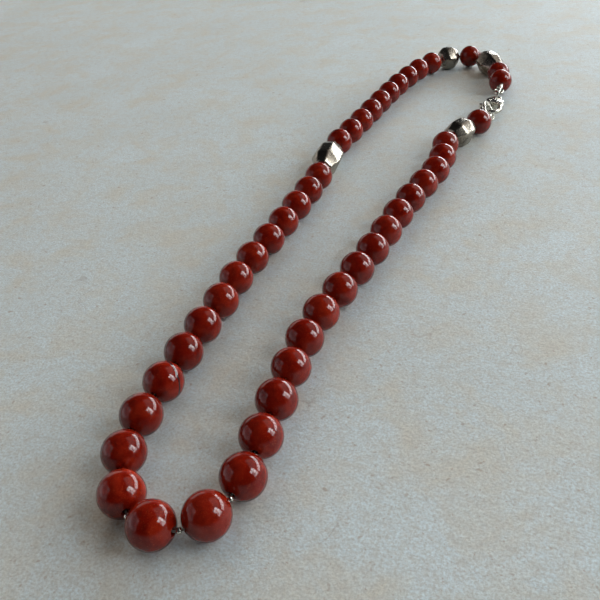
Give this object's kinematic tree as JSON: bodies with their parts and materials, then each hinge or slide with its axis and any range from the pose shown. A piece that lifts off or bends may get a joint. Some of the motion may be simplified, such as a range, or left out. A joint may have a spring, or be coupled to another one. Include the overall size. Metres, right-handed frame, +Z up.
{
  "type": "gemstone necklace",
  "caption": "Necklace of round polished red stone beads with faceted silver nuggets on one thread, closed by a small sprung lobster clasp, lying flat as a long narrow loop.",
  "frame": {"origin": "middle of the loop's bounding box, on the table that it lies on", "axes": "+Z up from the table, +Y along the long narrow loop towards its far end, +X across it, towards the strand that holds the clasp"},
  "size_m": [0.0472, 0.2361, 0.008],
  "materials": {
    "red_stone": "polished",
    "nugget_silver": "polished",
    "findings_silver": "polished",
    "thread": "satin"
  },
  "bodies": {
    "necklace": {"bead_01": "red_stone", "bead_02": "red_stone", "bead_03": "red_stone", "bead_04": "red_stone", "bead_05": "red_stone", "bead_06": "red_stone", "bead_07": "red_stone", "bead_08": "red_stone", "bead_09": "red_stone", "bead_10": "red_stone", "bead_11": "red_stone", "bead_12": "red_stone", "bead_13": "red_stone", "bead_14": "red_stone", "bead_15": "red_stone", "bead_16": "red_stone", "bead_17": "red_stone", "bead_18": "red_stone", "bead_19": "red_stone", "bead_20": "red_stone", "bead_21": "red_stone", "bead_22": "red_stone", "bead_23": "red_stone", "bead_24": "red_stone", "bead_25": "red_stone", "bead_26": "red_stone", "bead_27": "red_stone", "bead_28": "red_stone", "bead_29": "red_stone", "bead_30": "red_stone", "bead_31": "red_stone", "bead_32": "red_stone", "bead_33": "red_stone", "bead_34": "red_stone", "bead_35": "red_stone", "bead_36": "red_stone", "back_beads": "red_stone", "silver_nugget_1": "nugget_silver", "silver_nugget_2": "nugget_silver", "silver_nugget_3": "nugget_silver", "silver_nugget_4": "nugget_silver", "silver_spacers": "findings_silver", "crimp_end_1": "findings_silver", "crimp_end_2": "findings_silver", "hook_ring": "findings_silver", "tail_ring": "findings_silver", "clasp_body": "findings_silver", "clasp_rivet": "findings_silver", "thread": "thread"},
    "clasp_lever": {"clasp_lever": "findings_silver"}
  },
  "joints": [
    {"name": "lever_hinge", "type": "hinge", "parent": "necklace", "child": "clasp_lever", "pos_m": [0.01891, 0.06969, 0.0025], "axis": [0, 0, 1], "range_deg": [0, 20], "stiffness_Nm_per_rad": 0.005, "springref_deg": -28.65}
  ]
}
